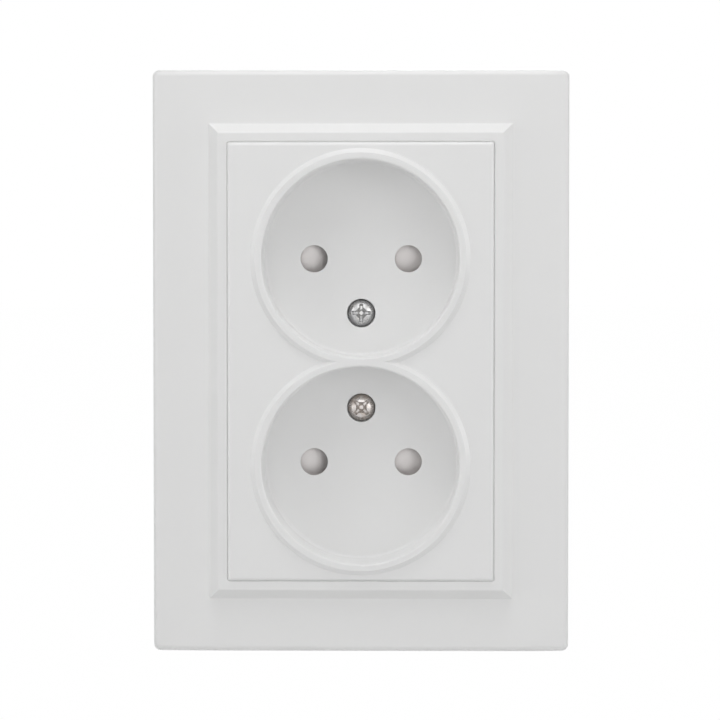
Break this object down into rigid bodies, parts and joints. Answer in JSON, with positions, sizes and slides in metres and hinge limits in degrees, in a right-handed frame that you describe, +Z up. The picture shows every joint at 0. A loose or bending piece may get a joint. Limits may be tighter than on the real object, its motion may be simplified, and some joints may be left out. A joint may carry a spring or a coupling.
{
  "type": "double wall socket",
  "caption": "Flush double mains socket: stepped white frame, face plate with two round wells, shutters, sprung contacts, terminals, steel strap and spreading claws.",
  "frame": {"origin": "middle between the two wall box screws, in the plane of the wall's surface", "axes": "+X to the right seen from the room, +Z up the wall, +Y into the wall; the wells face -Y"},
  "size_m": [0.083, 0.0363, 0.116],
  "materials": {
    "frame_white": "satin moulded",
    "plate_white": "satin moulded",
    "shutter_grey": "moulded",
    "base_grey": "moulded",
    "zinc_steel": "zinc plated",
    "screw_steel": "zinc plated",
    "spring_steel": "drawn wire",
    "contact_brass": "stamped"
  },
  "bodies": {
    "root": {"outer_frame": "frame_white", "face_plate": "plate_white", "base": "base_grey", "mounting_strap": "zinc_steel", "shutter_spring_upper": "spring_steel", "shutter_spring_lower": "spring_steel", "cover_screw_upper": "screw_steel", "cover_screw_lower": "screw_steel", "cover_nut_upper": "screw_steel", "cover_nut_lower": "screw_steel", "rear_cover_upper": "base_grey", "rear_cover_lower": "base_grey", "rear_cover_screw_upper": "screw_steel", "rear_cover_screw_lower": "screw_steel", "contact_strip_right": "contact_brass", "contact_strip_left": "contact_brass", "claw_pin_right": "screw_steel", "claw_pin_left": "screw_steel"},
    "shutter_upper": {"shutter_upper": "shutter_grey"},
    "shutter_lower": {"shutter_lower": "shutter_grey"},
    "terminal_clamp_right": {"terminal_clamp_right": "zinc_steel"},
    "terminal_clamp_left": {"terminal_clamp_left": "zinc_steel"},
    "terminal_screw_right": {"terminal_screw_right": "screw_steel"},
    "terminal_screw_left": {"terminal_screw_left": "screw_steel"},
    "claw_right": {"claw_right": "zinc_steel"},
    "claw_left": {"claw_left": "zinc_steel"},
    "claw_screw_right": {"claw_screw_right": "screw_steel"},
    "claw_screw_left": {"claw_screw_left": "screw_steel"},
    "claw_nut_right": {"claw_nut_right": "screw_steel"},
    "claw_nut_left": {"claw_nut_left": "screw_steel"}
  },
  "joints": [
    {"name": "shutter_upper_slide", "type": "slide", "parent": "root", "child": "shutter_upper", "axis": [-1, 0, 0], "range_m": [0, 0.0056], "stiffness_N_per_m": 60, "springref_m": -0.003, "deforming": ["shutter_spring_upper"]},
    {"name": "shutter_lower_slide", "type": "slide", "parent": "root", "child": "shutter_lower", "axis": [-1, 0, 0], "range_m": [0, 0.0056], "stiffness_N_per_m": 60, "springref_m": -0.003, "deforming": ["shutter_spring_lower"]},
    {"name": "terminal_clamp_right_slide", "type": "slide", "parent": "root", "child": "terminal_clamp_right", "axis": [0, 1, 0], "range_m": [0, 0.00251]},
    {"name": "terminal_screw_right_turn", "type": "hinge", "parent": "terminal_clamp_right", "child": "terminal_screw_right", "pos_m": [0.0095, 0.0105, 0], "axis": [0, 1, 0], "range_deg": [0, 1285.7]},
    {"name": "claw_screw_right_turn", "type": "hinge", "parent": "root", "child": "claw_screw_right", "pos_m": [0.025, 0, -0.007], "axis": [0, 1, 0], "range_deg": [0, 1576.8]},
    {"name": "claw_nut_right_slide", "type": "slide", "parent": "root", "child": "claw_nut_right", "axis": [0, -1, 0], "range_m": [0, 0.0022]},
    {"name": "claw_right_swing", "type": "hinge", "parent": "root", "child": "claw_right", "pos_m": [0.021, 0.006, -0.007], "axis": [0, 0, -1], "range_deg": [0, 35.05]},
    {"name": "terminal_clamp_left_slide", "type": "slide", "parent": "root", "child": "terminal_clamp_left", "axis": [0, 1, 0], "range_m": [0, 0.00251]},
    {"name": "terminal_screw_left_turn", "type": "hinge", "parent": "terminal_clamp_left", "child": "terminal_screw_left", "pos_m": [-0.0095, 0.0105, 0], "axis": [0, 1, 0], "range_deg": [0, 1285.7]},
    {"name": "claw_screw_left_turn", "type": "hinge", "parent": "root", "child": "claw_screw_left", "pos_m": [-0.025, 0, 0.007], "axis": [0, 1, 0], "range_deg": [0, 1576.8]},
    {"name": "claw_nut_left_slide", "type": "slide", "parent": "root", "child": "claw_nut_left", "axis": [0, -1, 0], "range_m": [0, 0.0022]},
    {"name": "claw_left_swing", "type": "hinge", "parent": "root", "child": "claw_left", "pos_m": [-0.021, 0.006, 0.007], "axis": [0, 0, 1], "range_deg": [0, 35.05]}
  ],
  "couplings": [
    {"joint": "terminal_clamp_right_slide", "follows": "terminal_screw_right_turn", "m_per_rad": 0.00011141},
    {"joint": "claw_nut_right_slide", "follows": "claw_screw_right_turn", "m_per_rad": 0.000079577},
    {"joint": "claw_right_swing", "follows": "claw_screw_right_turn", "ratio": 0.022197},
    {"joint": "terminal_clamp_left_slide", "follows": "terminal_screw_left_turn", "m_per_rad": 0.00011141},
    {"joint": "claw_nut_left_slide", "follows": "claw_screw_left_turn", "m_per_rad": 0.000079577},
    {"joint": "claw_left_swing", "follows": "claw_screw_left_turn", "ratio": 0.022197}
  ]
}
